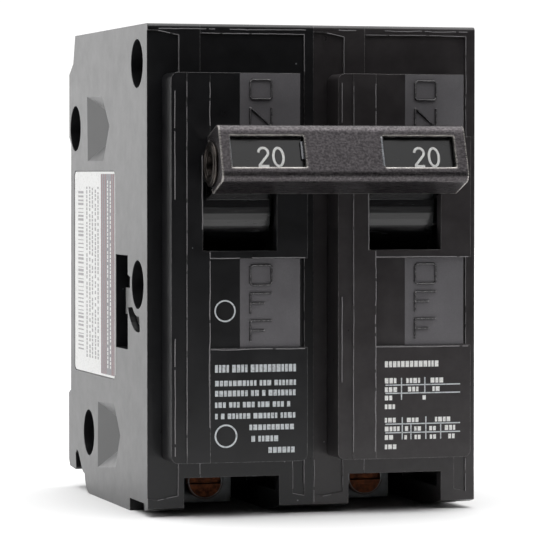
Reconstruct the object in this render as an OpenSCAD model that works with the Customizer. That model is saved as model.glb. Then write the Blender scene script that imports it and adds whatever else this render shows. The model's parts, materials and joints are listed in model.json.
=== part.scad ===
// Two-pole plug-in circuit breaker, standing on its load end with the handles on.
// +Z runs from the load end to the line end, the handles face -Y, and the panel rail is at +Y.
// The origin is in the middle of the load end's face, on the seam between the poles.

/* [Case] */
// Width of one pole, which is the pitch of the panel's branch stabs
pole_w = 25.4; // [24:0.1:32]
// Height of the case from the load end to the line end
case_h = 72.5; // [64:0.5:90]
// Depth of the case from its front plane to its back
case_d = 52; // [50:0.5:66]
// Thickness of the moulded walls
wall = 2; // [1.6:0.1:2.4]
// Width of the cover, measured from the pole's left side to the parting plane
cover_w = 8; // [7.8:0.1:9]
// Gap between moulded pieces that slide in each other
slide_gap = 0.3; // [0.2:0.05:0.4]
// Radial clearance of a pin in its hole
pin_gap = 0.05; // [0.02:0.01:0.1]

/* [Nose] */
// How far the raised nose stands in front of the front plane
nose_d = 5.6; // [5:0.1:7]
// Thickness of the nose's front wall
nose_wall = 1.9; // [1.6:0.1:2.2]
// Distance from the pole's left side to the nose
nose_left = 2.2; // [1.8:0.1:2.6]
// Distance from the nose to the pole's right side
nose_right = 2.6; // [2:0.1:3]
// Radius of the nose's corners
nose_round = 1; // [0.6:0.1:1.4]
// Height of the nose's bottom edge
nose_low = 8.3; // [7.5:0.1:10]
// Distance from the nose's top edge to the top of the case
nose_drop = 7.3; // [6:0.1:9]
// Depth of the two recessed zones beside the handle
zone_depth = 0.5; // [0.3:0.1:0.7]
// Height of the recessed zone below the handle
zone_h = 13.1; // [10:0.1:14]

/* [Handle] */
// Distance from the top of the case down to the handle's pivot
handle_drop = 26.2; // [24:0.1:28]
// Distance of the handle's pivot behind the front plane
handle_y = 5.5; // [5.3:0.1:6]
// Tilt of the handle when it is on
handle_tilt = 19.5; // [17:0.5:20]
// Radius of the drum that closes the handle's window
drum_r = 9; // [8:0.1:9]
// Width of the drum
drum_w = 10.6; // [9:0.1:11]
// Radius of the handle's trunnions
trunnion_r = 2; // [1.6:0.1:2.4]
// Thickness of the handle's stem where it passes the window
stem_t = 5.2; // [4:0.1:5.4]
// Thickness of the handle's grip
grip_t = 6.2; // [5:0.1:6.4]
// Width of the handle's grip
grip_w = 12; // [10:0.1:12.4]
// Distance from the pivot to the front of the grip
grip_reach = 20.5; // [19:0.1:24]

/* [Tie bar] */
// Height of the tie bar's front plate
tie_h = 8.7; // [8:0.1:10]
// Thickness of the tie bar's sheet
tie_t = 0.8; // [0.6:0.1:1]
// Inside radius of the tie bar's bends
tie_bend = 0.4; // [0.3:0.1:0.6]
// Depth of the tie bar's upper and lower flanges
tie_flange = 6.2; // [4:0.1:6.4]
// Height of the windows that show the ratings
tie_window_h = 4.8; // [3.5:0.1:5]
// Outer radius of the tubular pin
tie_pin_r = 2.4; // [1.8:0.1:2.5]
// Distance from the handle's pivot to the tubular pin
tie_pin_reach = 16.6; // [16:0.1:17.2]
// Radius of the tubular pin's rolled flanges
tie_flare_r = 3.3; // [2.8:0.1:3.4]

/* [Rivets] */
// Radius of the case rivets
rivet_r = 1.6; // [1.2:0.1:1.8]
// Radius of the moulded posts that the rivets pass through
post_r = 2.6; // [2.4:0.1:3]
// Radius of the counterbores for the rivet heads
counterbore_r = 3.62; // [3.4:0.02:3.8]
// Depth of the counterbores
counterbore_d = 4.5; // [3:0.1:4.5]

/* [Contacts] */
// Thickness of the contact arm along the pole's width
arm_t = 3; // [2:0.1:3.4]
// Width of the line jaw's copper strip
jaw_w = 9; // [7:0.1:9.4]
// Thickness of the line jaw's copper strip
jaw_t = 1.2; // [0.8:0.1:1.3]
// Gap between the jaw's leaves, which a panel stab fills
jaw_gap = 3.6; // [2.5:0.1:3.8]
// Number of steel plates in the arc chute
arc_count = 5; // [3:1:5]
// Thickness of an arc chute plate
arc_t = 1; // [0.8:0.1:1.1]

/* [Trip parts] */
// Angle that the common trip bar turns through when a pole trips
trip_swing = 8; // [4:1:10]
// Thickness of the bimetal strip
bimetal_t = 1.2; // [0.8:0.1:1.3]
// Thickness of the armature plate
armature_t = 1; // [0.8:0.1:1.2]

/* [Load terminal] */
// Width of the terminal opening in the front and the load end
terminal_w = 14.6; // [13.4:0.1:15]
// Width of the lug
lug_w = 10.5; // [10:0.1:11]
// Height of the lug
lug_h = 8.6; // [7.6:0.1:9]
// Radius of the lug's wire hole
wire_r = 3.2; // [2.8:0.1:3.4]
// Radius of the lug screw's thread
screw_r = 1.9; // [1.6:0.1:2]
// Radius of the lug screw's head
screw_head_r = 2.8; // [2.4:0.1:3]
// Travel of the lug screw from backed out to fully in
screw_travel = 2.4; // [1.6:0.1:2.6]

/* [Hidden] */
$fn = 48;
fuzz = 0.05;

// Poles: 0 is the left one and 1 the right one; every pole piece is drawn from the pole's left side
LEFT = 0;
RIGHT = 1;
function pole_x(pole) = pole == LEFT ? -pole_w : 0;

// Case datums
front = -case_d / 2;
back = case_d / 2;
back_in = back - 2 * wall;
nose_front = front - nose_d;
nose_high = case_h - nose_drop;
nose_x = [nose_left, pole_w - nose_right];
foot_step = 1.3;
top_round = 0.6;
right_in = pole_w - wall;

// Handle datums: the handle's own frame has its pivot at the origin and its grip along -Y
handle_z = case_h - handle_drop;
pivot_y = front + handle_y;
mech_x = 12.5;
drum_x = [mech_x - drum_w / 2, mech_x + drum_w / 2];
window_x = [drum_x[0] - slide_gap, drum_x[1] + slide_gap];
window_half = (handle_y + nose_d) * tan(handle_tilt) + stem_t / 2 / cos(handle_tilt) + 0.4;
trunnion_len = 4;
seat_r = 3.6;
mid_zone = [handle_z - 8.2, handle_z + 9.7];
grip_shift = [1.6, 0.7];

// Tie bar datums, across both poles
tie_plate_y = grip_reach + 0.2 + tie_t;
tie_rise = 0.25;
tie_reach = grip_w / 2 + 0.25 + tie_t;
tie_x = [pole_x(LEFT) + mech_x + grip_shift[LEFT] - tie_reach, mech_x - grip_shift[RIGHT] + tie_reach];
tie_windows = [[tie_x[0] + 1.55, tie_x[0] + 12.6], [tie_x[1] - 12.65, tie_x[1] - 1.8]];
tie_lug_r = tie_flare_r + 0.1;
tie_flare_t = 0.4;
tie_pin_wall = 0.5;

// Rivet centres as [y, z]; the second one also carries the common trip bar
trip_y = front + 6;
trip_z = handle_z - 12.25;
rivet_at = [[front + 6.3, case_h - 5.7], [trip_y, trip_z], [back - 14.25, 9.7], [back - 5.2, case_h - 14.8]];
boss_r = counterbore_r + 1;
boss_len = counterbore_d + 1;
rivet_head_t = 0.9;
rivet_head_r = 2.8;

// Common trip bar
bar_y = [trip_y + 8, trip_y + 11];
bar_z = [trip_z - 4.76, trip_z - 0.76];
side_window_y = [trip_y + 6.1, trip_y + 13.6];
side_window_z = [trip_z - 9.95, trip_z + 4.2];
slot_r = [4.75, 7.1];
finger_r = [5.1, 6.7];
finger_mid = (finger_r[0] + finger_r[1]) / 2;
finger_angle = [-82, 0];
hub_r = 4.3;
hub_t = 1.3;
hub_x = boss_len + 0.1;
bar_inset = 0.9;

// Contact arm and what it meets
arm_x = [mech_x - arm_t / 2, mech_x + arm_t / 2];
arm_y = front + 19.5;
arm_z = handle_z + 1;
arm_pin_r = 1.5;
tip_z = case_h - 10.7;
contact_y = front + 25.6;
contact_gap = 0.15;
tip_t = 0.8;
strip_y = contact_y + contact_gap + 1;

// Line jaw
jaw_x = [mech_x - jaw_w / 2, mech_x + jaw_w / 2];
jaw_z = case_h - 11.2;
jaw_root = back - 16;
jaw_end = back - 4.8;
stab_x = [cover_w - 1, mech_x + 7];
stab_z = [jaw_z + jaw_t - 0.6, jaw_z + jaw_t + jaw_gap + 0.6];
clip_t = 0.6;

// Arc chute
arc_y = front + 14.6;
arc_pitch = 2.05;
arc_z = [case_h - 11.7, case_h - 2.7];
liner_t = 0.8;
liner_x = [wall + 2.3, pole_w - 5.1];
arc_notch = [mech_x - 3, mech_x + 3];

// Cradle, armature and magnet
cradle_y = front + 24;
cradle_z = handle_z - 7;
cradle_x = [arm_x[1] + 0.5, arm_x[1] + 2];
cradle_pin_r = 1.2;
latch_z = handle_z - 4;
armature_y = back - 13.5;
armature_z = 26.3;
armature_pin_r = 0.8;
armature_seat = 1.9;
yoke_y = [back - 11, back - 6];
yoke_z = [armature_z - 3, armature_z + 9];
yoke_x = [mech_x - 5.5, mech_x + 5.5];
yoke_t = 1.2;
bimetal_y = back - 9.5;
bimetal_x = [mech_x - 2.5, mech_x + 2.5];
bimetal_top = latch_z - 1;
spring_x = cradle_x[1] + 1.7;
spring_r = 1.2;
spring_wire_r = 0.25;
spring_low = [cradle_y + 7, cradle_z + 2.6];
spring_high = [arm_y + 2.5, arm_z + 8];
peg_r = 0.7;

// Load strap, calibration screw and lug
strap_t = 1.2;
strap_x = [mech_x - 3.5, mech_x + 3.5];
strap_z = 13.5;
tab_y = back - 6.8;
calibration_z = strap_z + 4.3;
calibration_r = 1.2;
terminal_x = [5.5, 5.5 + terminal_w];
terminal_top = 5.7;
lug_mid = 12;
lug_x = [lug_mid - lug_w / 2, lug_mid + lug_w / 2];
lug_y = [front + 16.5, front + 27.5];
lug_z = [0.3, 0.3 + lug_h];
wire_y = lug_y[0] + 2.9 + wire_r;
screw_z = 4.05;
screw_head_t = 1.6;
screw_head_y = [lug_y[0] - screw_travel - 0.5 - screw_head_t, lug_y[0] - screw_travel - 0.5];
shoe_t = 1.4;
shoe_y = [lug_y[0] + 1.4, lug_y[0] + 1.4 + shoe_t];

// Rating label on the left side
label_y = [front + 20.3, back - 4.4];
label_z = [19.2, case_h - 21.7];
label_t = 0.15;
label_recess = 0.2;
label_gap = 0.15;
label_round = 1;

// Points on an arc
function arc(centre, r, from, to, steps) =
    [for (i = [0:steps]) let (a = from + (to - from) * i / steps) centre + r * [cos(a), sin(a)]];

// Points of a rectangle between two pairs of limits, with rounded corners
function rounded(a, b, r) = concat(
    arc([a[1] - r, b[1] - r], r, 0, 90, 5), arc([a[0] + r, b[1] - r], r, 90, 180, 5),
    arc([a[0] + r, b[0] + r], r, 180, 270, 5), arc([a[1] - r, b[0] + r], r, 270, 360, 5));

// Moves a piece from the left side's frame to its own pole
module at_pole(pole) {
    translate([pole_x(pole), 0, 0]) children();
}

// A block between three pairs of limits
module block(x, y, z) {
    translate([x[0], y[0], z[0]]) cube([x[1] - x[0], y[1] - y[0], z[1] - z[0]]);
}

// A [y, z] outline carried along X
module slab(x) {
    translate([x[0], 0, 0]) rotate([90, 0, 90]) linear_extrude(x[1] - x[0]) children();
}

// An [x, z] outline carried along Y
module sheet(y) {
    translate([0, y[1], 0]) rotate([90, 0, 0]) linear_extrude(y[1] - y[0]) children();
}

// A round bar along X
module rod_x(at, r, x) {
    translate([x[0], at[0], at[1]]) rotate([0, 90, 0]) cylinder(r = r, h = x[1] - x[0]);
}

// A round bar along Y
module rod_y(x, z, r, y) {
    translate([x, y[1], z]) rotate([90, 0, 0]) cylinder(r = r, h = y[1] - y[0]);
}

// A ring sector between two radii and two angles, as a [y, z] outline
module sector(r, a, steps = 12) {
    polygon(concat(arc([0, 0], r[1], a[0], a[1], steps), arc([0, 0], r[0], a[1], a[0], steps)));
}

// Outer outline of the case, with the rail hook's slot in the load end's back corner
module case_outline() {
    polygon(concat(
        [[front, foot_step], [front + 2.7, 0.7], [front + 9, 0]],
        arc([back - 14.6, 3.5], 3.5, -90, -10, 6),
        [[back - 10.1, 3.1], [back - 9.45, 3.4], [back - 6.85, 5.95], [back - 5.8, 6.3], [back - 4.85, 5.65]],
        [[back - 5.2, 3.4], [back - 4.7, 3.05], [back - 0.9, 3.3], [back, 4.3], [back, 15.1]],
        [[back - 1.5, 15.7], [back - 2, case_h - 17.3], [back - 0.7, case_h - 16.1]],
        [[back - 0.7, case_h - 6.1], [back - 3.6, case_h - 4.4], [back - 5, case_h]],
        arc([front + top_round, case_h - top_round], top_round, 90, 180, 4)));
}

// The hollow inside a pole, as a [y, z] outline
module hollow_outline() {
    floor_z = wall + foot_step;
    polygon([[front + wall, floor_z], [back - 14, floor_z], [back - 11.8, 8.3], [back_in, 8.3],
        [back_in, case_h - 6], [back - 6.8, case_h - wall], [front + wall, case_h - wall]]);
}

// The whole of one pole's moulding between two X limits, before its holes
module pole_solid(x) {
    slab(x) case_outline();
    intersection() {
        block(x, [nose_front, front + fuzz], [nose_low, nose_high]);
        sheet([nose_front, front + fuzz]) polygon(rounded(nose_x, [nose_low, nose_high], nose_round));
    }
}

// The hollow of one pole between two X limits
module pole_hollow(x) {
    inner = [max(x[0], wall), min(x[1], right_in)];
    slab(inner) hollow_outline();
    nose = [max(x[0], nose_x[0] + nose_wall), min(x[1], nose_x[1] - nose_wall + 0.1)];
    block(nose, [nose_front + nose_wall, front + wall + fuzz], [nose_low + wall, nose_high - wall]);
}

// Openings that both halves of a pole share: handle window and terminal mouth
module pole_mouths() {
    window_z = [handle_z - window_half, handle_z + window_half];
    block(window_x, [nose_front - 1, nose_front + nose_wall + fuzz], window_z);
    block(terminal_x, [front - 1, lug_y[1] + 1.6], [-1, terminal_top]);
}

// Sunk five-sided pocket in a side face, deepest near its front point
module side_pocket(outline, deep, depth) {
    hull() {
        slab([-fuzz, 0]) polygon(outline);
        slab([depth - fuzz, depth]) polygon(deep);
    }
}

// Both pockets of a left-hand side face
pocket_depth = 2.6;
module side_pockets() {
    y = back - 28.3;
    z = case_h - 20.1;
    side_pocket([[y + 15, z + 10.2], [y + 4.7, z + 10], [y, z + 5.4], [y + 4.1, z], [y + 14.6, z]],
        [[y + 1.4, z + 5.9], [y + 0.5, z + 5.4], [y + 1.4, z + 4.9]], pocket_depth);
    v = front + 16.95;
    w = 4.7;
    side_pocket([[v + 14.6, w + 10.3], [v + 4, w + 10.7], [v, w + 6.1], [v + 3.2, w + 1], [v + 14.8, w]],
        [[v + 1.4, w + 6.6], [v + 0.5, w + 6.1], [v + 1.4, w + 5.6]], pocket_depth);
}

// Material behind the pockets, which also holds the lug
module pocket_pads(lug_side) {
    block([wall - fuzz, pocket_depth + 1.2], [back - 29.3, back - 12.3], [case_h - 21.1, case_h - 8.9]);
    block([wall - fuzz, lug_side], [lug_y[0] + 1.5, front + 32.5], [foot_step + 0.7, 15.9]);
}

// Posts for the rivets between two X limits
module posts(x) {
    for (at = rivet_at) rod_x(at, post_r, x);
}

// Passage for the common trip bar in a side wall; an outer wall has a wide window and a curved slot
module trip_window(x, outer) {
    if (outer) {
        block(x, side_window_y, side_window_z);
        slot_angle = [finger_angle[0] - 19, finger_angle[1] + trip_swing + 4];
        translate([0, trip_y, trip_z]) slab(x) sector(slot_r, slot_angle);
    } else {
        block(x, [bar_y[0] - 0.9, bar_y[1] + 0.9], [bar_z[0] - 0.5, bar_z[1] + 2.2]);
    }
}

// Roof of the terminal chamber between two X limits
module chamber_roof(x) {
    block(x, [front + wall - fuzz, lug_y[1] - 0.2], [lug_z[1] + 1, lug_z[1] + 2.2]);
}

// The moulded cover of one pole, from its left side to the parting plane
module pole_cover(pole) {
    outer = pole == LEFT;
    difference() {
        union() {
            difference() {
                pole_solid([0, cover_w]);
                pole_hollow([-1, cover_w + 1]);
            }
            intersection() {
                slab([0, cover_w]) case_outline();
                union() {
                    posts([wall - fuzz, cover_w]);
                    for (at = rivet_at) rod_x(at, boss_r, [wall - fuzz, boss_len]);
                    pocket_pads(lug_x[0]);
                }
            }
            rod_x([pivot_y, handle_z], seat_r, [wall - fuzz, drum_x[0] - slide_gap]);
            rod_x([arm_y, arm_z], 2.8, [wall - fuzz, wall + 3]);
            rod_x([armature_y, armature_z], armature_seat, [wall - fuzz, wall + 3.4]);
            block([wall - fuzz, jaw_x[0]], [strip_y + jaw_t + 0.4, jaw_root - 4],
                [jaw_z - 1.4, jaw_z + jaw_t + 1.4]);
            block([wall - fuzz, yoke_x[0]], [yoke_y[0] + 1, yoke_y[1] - 0.5], [yoke_z[0] + 4, yoke_z[0] + 9]);
            block([wall - fuzz, strap_x[0]], [back - 20.5, back - 18.5], [strap_z, strap_z + strap_t]);
            chamber_roof([wall - fuzz, cover_w]);
            block([wall - fuzz, liner_x[0]], [arc_y - 0.6, arc_y + 1.4], [arc_z[1] - 5, case_h - wall + fuzz]);
        }
        pole_mouths();
        for (at = rivet_at) {
            rod_x(at, rivet_r + pin_gap, [-1, cover_w + 1]);
            if (outer) rod_x(at, counterbore_r, [-1, counterbore_d]);
        }
        rod_x([pivot_y, handle_z], trunnion_r + pin_gap, [drum_x[0] - trunnion_len - 0.2, cover_w + 1]);
        rod_x([arm_y, arm_z], arm_pin_r + pin_gap, [wall - 0.5, cover_w]);
        rod_x([armature_y, armature_z], armature_pin_r + pin_gap, [wall, cover_w]);
        trip_window([-1, wall + fuzz], outer);
        if (outer) {
            side_pockets();
            slab([-1, label_recess]) polygon(rounded([label_y[0] - label_gap, label_y[1] + label_gap],
                [label_z[0] - label_gap, label_z[1] + label_gap], label_round + label_gap));
            block([-1, wall + 0.1], [front + 2, front + 11], [-1, 1.9]);
        }
        sheet([front - fuzz, front + 0.3]) polygon([[-1, 2.9], [1.5, 2.5], [4.6, 3.1], [4.75, case_h - 1.65],
            [1.5, case_h - 1], [-1, case_h - 1]]);
        block([nose_left - 1, 4.5], [nose_front - 1, nose_front + 0.25], [nose_low - 1, nose_high + 1]);
    }
}

// The moulded base of one pole, from the parting plane to its right side
module pole_base(pole) {
    outer = pole == RIGHT;
    difference() {
        union() {
            difference() {
                pole_solid([cover_w, pole_w]);
                pole_hollow([cover_w - 1, pole_w + 1]);
            }
            intersection() {
                slab([cover_w, pole_w]) case_outline();
                union() {
                    posts([cover_w, right_in + fuzz]);
                    for (at = rivet_at) rod_x(at, boss_r, [pole_w - boss_len, right_in + fuzz]);
                    translate([pole_w, 0, 0]) mirror([1, 0, 0]) pocket_pads(pole_w - lug_x[1]);
                }
            }
            rod_x([pivot_y, handle_z], seat_r, [drum_x[1] + slide_gap, right_in + fuzz]);
            rod_x([arm_y, arm_z], 2.8, [right_in - 3, right_in + fuzz]);
            rod_x([cradle_y, cradle_z], 2.6, [cradle_x[1] + 0.4, right_in + fuzz]);
            rod_x([armature_y, armature_z], armature_seat, [right_in - 3.4, right_in + fuzz]);
            block([jaw_x[1], right_in + fuzz], [strip_y + jaw_t + 0.4, jaw_root - 4],
                [jaw_z - 1.4, jaw_z + jaw_t + 1.4]);
            block([yoke_x[1], right_in + fuzz], [yoke_y[0] + 1, yoke_y[1] - 0.5],
                [yoke_z[0] + 4, yoke_z[0] + 9]);
            block([strap_x[1], right_in + fuzz], [back - 20.5, back - 18.5], [strap_z, strap_z + strap_t]);
            chamber_roof([cover_w, right_in + fuzz]);
            block([liner_x[1] + liner_t, right_in + fuzz], [arc_y - 0.6, arc_y + 1.4],
                [arc_z[1] - 5, case_h - wall + fuzz]);
        }
        pole_mouths();
        for (at = rivet_at) {
            rod_x(at, rivet_r + pin_gap, [cover_w - 1, pole_w + 1]);
            if (outer) rod_x(at, counterbore_r, [pole_w - counterbore_d, pole_w + 1]);
        }
        rod_x([pivot_y, handle_z], trunnion_r + pin_gap, [cover_w, drum_x[1] + trunnion_len + 0.2]);
        rod_x([arm_y, arm_z], arm_pin_r + pin_gap, [cover_w, right_in + 0.5]);
        rod_x([cradle_y, cradle_z], cradle_pin_r + pin_gap, [cover_w, right_in]);
        rod_x([armature_y, armature_z], armature_pin_r + pin_gap, [cover_w, right_in]);
        trip_window([right_in - fuzz, pole_w + 1], outer);
        rod_y(mech_x, calibration_z, 2.4, [back_in - fuzz, back + 1]);
        block(stab_x, [back_in - fuzz, back + 1], stab_z);
        if (outer) {
            translate([pole_w, 0, 0]) mirror([1, 0, 0]) side_pockets();
            block([right_in - 0.1, pole_w + 1], [front + 2, front + 11], [-1, 1.9]);
        }
        for (zone = [[mid_zone[0] - zone_h, mid_zone[0]], [mid_zone[1], nose_high + 1]]) {
            block([cover_w - 1, nose_x[1] + 1], [nose_front - 1, nose_front + zone_depth], zone);
            block([nose_x[1] - 1, nose_x[1] + 1], [nose_front - 1, front], zone);
        }
        sheet([front - fuzz, front + 0.3]) polygon([[cover_w - 1, case_h - 1.35], [pole_w - 1.4, case_h - 1.35],
            [pole_w - 1.4, 2.6], [pole_w - 3.2, 3], [pole_w - 3.2, nose_low + 1], [cover_w - 1, nose_low + 1]]);
    }
}

// The four rivets that hold both poles together
module case_rivets() {
    ends = [-pole_w + counterbore_d, pole_w - counterbore_d];
    color("#8a8378") for (at = rivet_at) {
        difference() {
            union() {
                rod_x(at, rivet_r, ends);
                rod_x(at, rivet_head_r, [ends[0] - rivet_head_t, ends[0]]);
                rod_x(at, rivet_head_r, [ends[1], ends[1] + rivet_head_t]);
            }
            rod_x(at, 0.9, [ends[0] - rivet_head_t - 1, ends[0] + 1.5]);
        }
    }
}

// The printed label in its recess on the left side
module rating_label() {
    color("#d9d9d6") translate([-pole_w + label_recess - label_t, 0, 0])
        slab([0, label_t]) polygon(rounded(label_y, label_z, label_round));
}

// One handle; side is -1 where the grip sits towards the left and 1 towards the right
module handle(pole) {
    side = pole == LEFT ? 1 : -1;
    grip_mid = mech_x + side * grip_shift[pole];
    grip_x = [grip_mid - grip_w / 2, grip_mid + grip_w / 2];
    stem_x = [max(drum_x[0], grip_x[0]), min(drum_x[1], grip_x[1])];
    ear_x = [[drum_x[0] + 1.3, drum_x[0] + 2.8], [drum_x[1] - 2.8, drum_x[1] - 1.3]];
    color("#232325") at_pole(pole) translate([0, pivot_y, handle_z]) rotate([-handle_tilt, 0, 0]) difference() {
        union() {
            slab(drum_x) sector([drum_r - 2.4, drum_r], [108, 252], 24);
            block(stem_x, [-grip_reach + 4, -drum_r + 2.5], [-stem_t / 2, stem_t / 2]);
            block(drum_x, [-drum_r + 2.4, 0], [-stem_t / 2, stem_t / 2]);
            rod_x([0, 0], stem_t / 2, drum_x);
            rod_x([0, 0], trunnion_r, [drum_x[0] - trunnion_len, drum_x[1] + trunnion_len]);
            block(grip_x, [-grip_reach, -grip_reach + 7.6], [-grip_t / 2, grip_t / 2]);
            for (x = ear_x) {
                block(x, [0, 6.5], [-1.8, 1.8]);
                rod_x([6.5, 0], 1.8, x);
            }
        }
        rod_x([-tie_pin_reach, 0], tie_pin_r + pin_gap, [grip_x[0] - 1, grip_x[1] + 1]);
    }
}

// Outline of the tie bar's channel, with bends of one radius, open to the rear
module channel_outline(r, rear) {
    y = -tie_plate_y + tie_bend + tie_t;
    z = tie_h / 2 - tie_bend - tie_t;
    translate([0, tie_rise])
        polygon(concat([[rear, -z - r]], arc([y, -z], r, 270, 180, 6),
            arc([y, z], r, 180, 90, 6), [[rear, z + r]]));
}

// The sheet-metal bar that makes both handles move together
module handle_tie() {
    root = -tie_plate_y + tie_flange;
    window_z = [tie_rise - tie_window_h / 2, tie_rise + tie_window_h / 2];
    color("#3a3532") translate([0, pivot_y, handle_z]) rotate([-handle_tilt, 0, 0]) difference() {
        union() {
            difference() {
                slab(tie_x) channel_outline(tie_bend + tie_t, root);
                slab([tie_x[0] - 1, tie_x[1] + 1]) channel_outline(tie_bend, root + 1);
            }
            for (x = [[tie_x[0], tie_x[0] + tie_t], [tie_x[1] - tie_t, tie_x[1]]]) {
                slab(x) channel_outline(tie_bend + tie_t, root - 1);
                block(x, [-tie_plate_y + tie_t, -tie_pin_reach], [-tie_lug_r, tie_lug_r]);
                rod_x([-tie_pin_reach, 0], tie_lug_r, x);
            }
        }
        for (x = tie_windows)
            block(x, [-tie_plate_y - 1, -tie_plate_y + tie_t + fuzz], window_z);
        rod_x([-tie_pin_reach, 0], tie_pin_r + pin_gap, [tie_x[0] - 1, tie_x[1] + 1]);
    }
}

// The tubular pin through the tie bar and both handles, rolled over at its ends
module tie_pin() {
    out = [tie_x[0] - tie_flare_t, tie_x[1] + tie_flare_t];
    color("#5a544e") translate([0, pivot_y, handle_z]) rotate([-handle_tilt, 0, 0]) difference() {
        union() {
            rod_x([-tie_pin_reach, 0], tie_pin_r, out);
            rod_x([-tie_pin_reach, 0], tie_flare_r, [out[0], tie_x[0]]);
            rod_x([-tie_pin_reach, 0], tie_flare_r, [tie_x[1], out[1]]);
        }
        rod_x([-tie_pin_reach, 0], tie_pin_r - tie_pin_wall, [out[0] - 1, out[1] + 1]);
    }
}

// The bar that trips both poles together, with a curved finger behind each outer window
module common_trip_bar() {
    edge = pole_w - bar_inset;
    color("#2b2a28") difference() {
        union() {
            block([-edge, edge], bar_y, bar_z);
            for (x = [[-edge, -edge + 1.5], [edge - 1.5, edge]]) {
                translate([0, trip_y, trip_z]) slab(x) sector(finger_r, finger_angle);
                rod_x([trip_y + finger_mid * cos(finger_angle[0]), trip_z + finger_mid * sin(finger_angle[0])],
                    finger_r[1] - finger_mid, x);
                block(x, [trip_y + 6.2, bar_y[0] + 0.5], bar_z);
            }
            for (x = [[-pole_w + hub_x, -pole_w + hub_x + hub_t], [pole_w - hub_x - hub_t, pole_w - hub_x]]) {
                rod_x([trip_y, trip_z], hub_r, x);
                block(x, [trip_y, bar_y[0] + 0.5], [bar_z[0] + 0.6, bar_z[1] + 0.4]);
            }
        }
        rod_x([trip_y, trip_z], post_r + pin_gap, [-pole_w, pole_w]);
    }
}

// The copper arm that carries the moving contact
module contact_arm(pole) {
    color("#b06f45") at_pole(pole) difference() {
        union() {
            rod_x([arm_y, arm_z], 2.6, arm_x);
            slab(arm_x) polygon([[arm_y - 2.4, arm_z - 1], [arm_y - 1.2, arm_z - 5.2],
                [arm_y + 1.2, arm_z - 5.2], [arm_y + 2.4, arm_z - 1],
                [contact_y - tip_t, tip_z - 3], [contact_y - tip_t, tip_z + 1.2],
                [contact_y - tip_t - 1.4, tip_z + 2], [contact_y - tip_t - 3, tip_z]]);
            rod_x(spring_high, peg_r, [arm_x[1] - fuzz, spring_x + 1.4]);
        }
        rod_x([arm_y, arm_z], arm_pin_r + pin_gap, [arm_x[0] - 1, arm_x[1] + 1]);
    }
}

// The silver pad on the contact arm
module contact_tip(pole) {
    color("#cfcfc9") at_pole(pole)
        block([mech_x - 2, mech_x + 2], [contact_y - tip_t, contact_y], [tip_z - 2, tip_z + 1]);
}

// The steel pin that the contact arm turns on
module arm_pin(pole) {
    color("#9a9a98") at_pole(pole) rod_x([arm_y, arm_z], arm_pin_r, [wall - 0.4, right_in + 0.4]);
}

// The silver pad on the line side
module fixed_contact(pole) {
    color("#cfcfc9") at_pole(pole)
        block([mech_x - 2, mech_x + 2], [contact_y + contact_gap, strip_y], [tip_z - 2.2, tip_z + 1.2]);
}

// The copper strip from the fixed contact to the jaw that grips the panel's stab
module line_jaw(pole) {
    top = jaw_z + jaw_t + jaw_gap;
    color("#b5774c") at_pole(pole) {
        block(jaw_x, [strip_y, strip_y + jaw_t], [jaw_z - 3.4, jaw_z + 2.6]);
        block(jaw_x, [strip_y + jaw_t - fuzz, jaw_end], [jaw_z, jaw_z + jaw_t]);
        block(jaw_x, [jaw_root - jaw_t, jaw_root], [jaw_z + jaw_t - fuzz, top + fuzz]);
        block(jaw_x, [jaw_root - jaw_t, jaw_end], [top, top + jaw_t]);
    }
}

// The steel clip that presses the jaw's leaves together
module jaw_spring(pole) {
    low = jaw_z - clip_t;
    high = jaw_z + 2 * jaw_t + jaw_gap;
    x = [jaw_x[0] - 1.3, jaw_x[1] + 1.3];
    y = [jaw_root - 3.4, jaw_end - 3.2];
    color("#83868a") at_pole(pole) difference() {
        union() {
            block(x, y, [low, jaw_z]);
            block(x, y, [high, high + clip_t]);
            block(x, [y[0], y[0] + clip_t], [low, high + clip_t]);
        }
        block([jaw_x[0] - 0.2, jaw_x[1] + 0.2], [y[0] - 1, y[0] + clip_t + 1], [jaw_z, high]);
    }
}

// The stack of steel plates that splits the arc
module arc_plates(pole) {
    color("#7d7f80") at_pole(pole) for (i = [0:arc_count - 1]) {
        y = arc_y + i * arc_pitch;
        difference() {
            block([liner_x[0] + liner_t, liner_x[1]], [y, y + arc_t], arc_z);
            block(arc_notch, [y - 1, y + arc_t + 1], [arc_z[0] - 1, arc_z[0] + 5]);
        }
    }
}

// The two fibre walls that hold the arc plates
module arc_liners(pole) {
    liner_end = arc_y + (arc_count - 1) * arc_pitch + arc_t + 0.4;
    color("#8f5a3c") at_pole(pole) for (x = liner_x)
        block([x, x + liner_t], [arc_y - 0.6, liner_end], [arc_z[0] - 0.6, arc_z[1] + 0.6]);
}

// The latched lever that the toggle spring pulls on
module cradle(pole) {
    tip = armature_y - armature_t / 2 - slide_gap;
    color("#8e9092") at_pole(pole) difference() {
        union() {
            rod_x([cradle_y, cradle_z], 2.6, cradle_x);
            slab(cradle_x) polygon([[cradle_y - 1, cradle_z - 2.3], [tip, latch_z - 1.6], [tip, latch_z + 0.4],
                [spring_low[0] + 2, spring_low[1] + 1.2], [spring_low[0] - 2, spring_low[1] + 1.2],
                [cradle_y - 1, cradle_z + 2.3]]);
            rod_x(spring_low, peg_r, [cradle_x[1] - fuzz, spring_x + 1.4]);
        }
        rod_x([cradle_y, cradle_z], cradle_pin_r + pin_gap, [cradle_x[0] - 1, cradle_x[1] + 1]);
    }
}

// The steel pin that the cradle turns on
module cradle_pin(pole) {
    color("#9a9a98") at_pole(pole)
        rod_x([cradle_y, cradle_z], cradle_pin_r, [cradle_x[0] - 0.3, right_in - 0.1]);
}

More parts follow.
